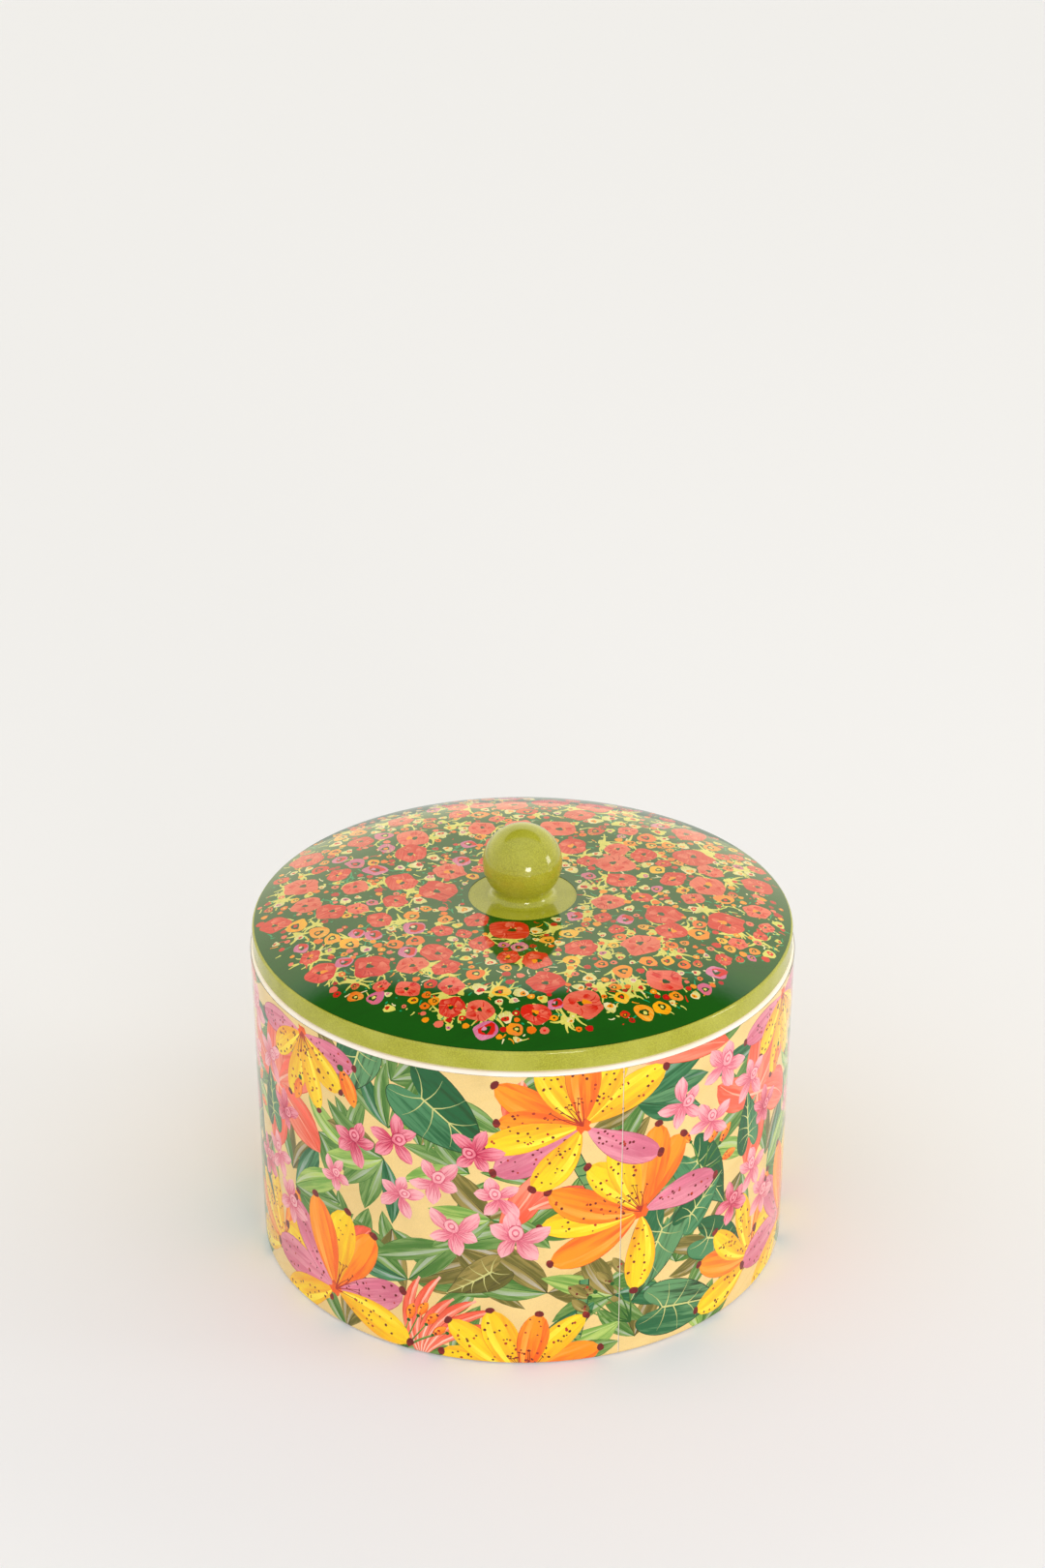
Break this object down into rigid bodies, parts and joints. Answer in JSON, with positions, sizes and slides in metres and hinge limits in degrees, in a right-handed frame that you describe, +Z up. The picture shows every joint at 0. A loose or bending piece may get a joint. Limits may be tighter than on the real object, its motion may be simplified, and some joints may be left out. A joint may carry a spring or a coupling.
{
  "type": "lidded storage jar",
  "caption": "Round glazed stoneware storage jar with a lift-off lid that is flat on top and rolls down at its edge, a ball knob and printed floral transfers on its wall and lid.",
  "frame": {"origin": "centre of the foot ring's flat face, on the table under the middle of the jar", "axes": "+Z up along the axis of the jar, the lid and the knob; +Y away from the front of the print"},
  "size_m": [0.1816, 0.1816, 0.1505],
  "materials": {
    "jar_glaze": "gloss white glaze",
    "jar_print": "gloss, printed with large flowers on cream",
    "lid_glaze": "gloss lime glaze",
    "lid_print": "gloss, printed with small flowers on dark green",
    "knob_glaze": "gloss lime glaze"
  },
  "bodies": {
    "jar": {"jar": "jar_glaze", "jar_transfer": "jar_print"},
    "lid": {"lid": "lid_glaze", "lid_transfer": "lid_print", "knob": "knob_glaze"}
  },
  "joints": [
    {"name": "lid_lift", "type": "slide", "parent": "jar", "child": "lid", "axis": [0, 0, 1], "range_m": [0, 0.08]}
  ]
}
